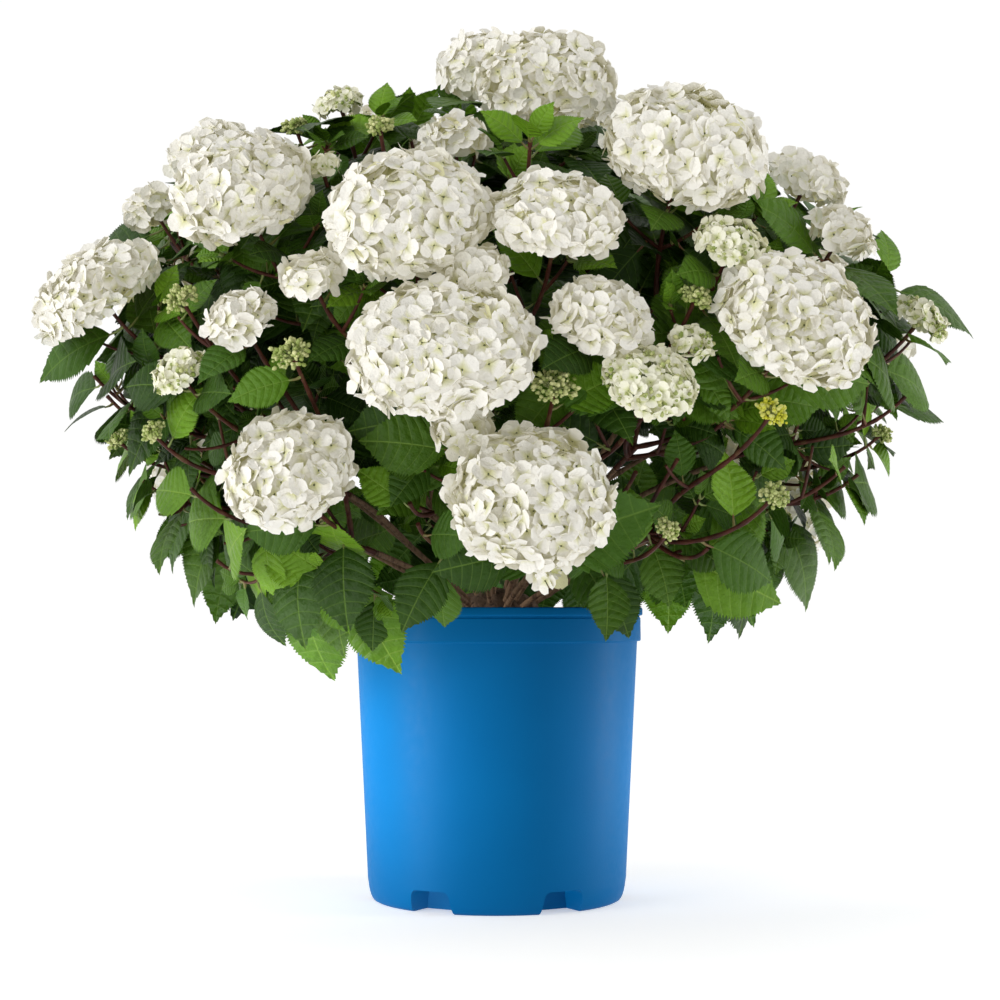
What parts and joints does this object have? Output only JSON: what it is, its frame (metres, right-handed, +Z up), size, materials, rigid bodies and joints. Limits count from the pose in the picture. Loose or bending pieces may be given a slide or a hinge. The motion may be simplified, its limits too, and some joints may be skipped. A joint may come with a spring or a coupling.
{
  "type": "potted mophead hydrangea shrub",
  "caption": "Leafy rounded hydrangea shrub with white mophead blooms and green buds, on brown canes, growing in a blue plastic nursery pot.",
  "frame": {"origin": "middle of the pot's flat underside", "axes": "+Z up, -Y is the front, +X is right as seen from the front"},
  "size_m": [0.703, 0.6381, 0.6734],
  "materials": {
    "pot_plastic": "satin",
    "potting_mix": "matte",
    "old_bark": "matte",
    "cane_bark": "satin",
    "leaf": "satin",
    "shoot_stem": "satin",
    "blossom": "matte",
    "bud": "matte"
  },
  "bodies": {
    "root": {"pot": "pot_plastic", "potting_mix": "potting_mix", "woody_base": "old_bark", "cane_back_left": "cane_bark", "cane_back_left_low": "cane_bark", "cane_back_low": "cane_bark", "cane_back_right": "cane_bark", "cane_back_right_low": "cane_bark", "cane_back_top_right": "cane_bark", "cane_centre": "cane_bark", "cane_front": "cane_bark", "cane_front_low": "cane_bark", "cane_left_low": "cane_bark", "cane_left_side": "cane_bark", "cane_left_tip": "cane_bark", "cane_right": "cane_bark", "cane_right_low": "cane_bark", "cane_right_side": "cane_bark", "cane_top": "cane_bark", "cane_upper_left": "cane_bark", "cane_upper_middle": "cane_bark", "cane_upper_right": "cane_bark", "branch_back_left_side": "cane_bark", "branch_back_right_side": "cane_bark", "branch_back_top_left": "cane_bark", "branch_left": "cane_bark", "branch_right_tip": "cane_bark", "branch_top_left": "cane_bark", "foliage_back_left": "leaf", "foliage_back_left_low": "leaf", "foliage_back_left_side": "leaf", "foliage_back_low": "leaf", "foliage_back_right": "leaf", "foliage_back_right_low": "leaf", "foliage_back_right_side": "leaf", "foliage_back_top_left": "leaf", "foliage_back_top_right": "leaf", "foliage_centre": "leaf", "foliage_front": "leaf", "foliage_front_low": "leaf", "foliage_left": "leaf", "foliage_left_low": "leaf", "foliage_left_side": "leaf", "foliage_left_tip": "leaf", "foliage_right": "leaf", "foliage_right_low": "leaf", "foliage_right_side": "leaf", "foliage_right_tip": "leaf", "foliage_top": "leaf", "foliage_top_left": "leaf", "foliage_upper_left": "leaf", "foliage_upper_middle": "leaf", "foliage_upper_right": "leaf"}
  },
  "joints": []
}
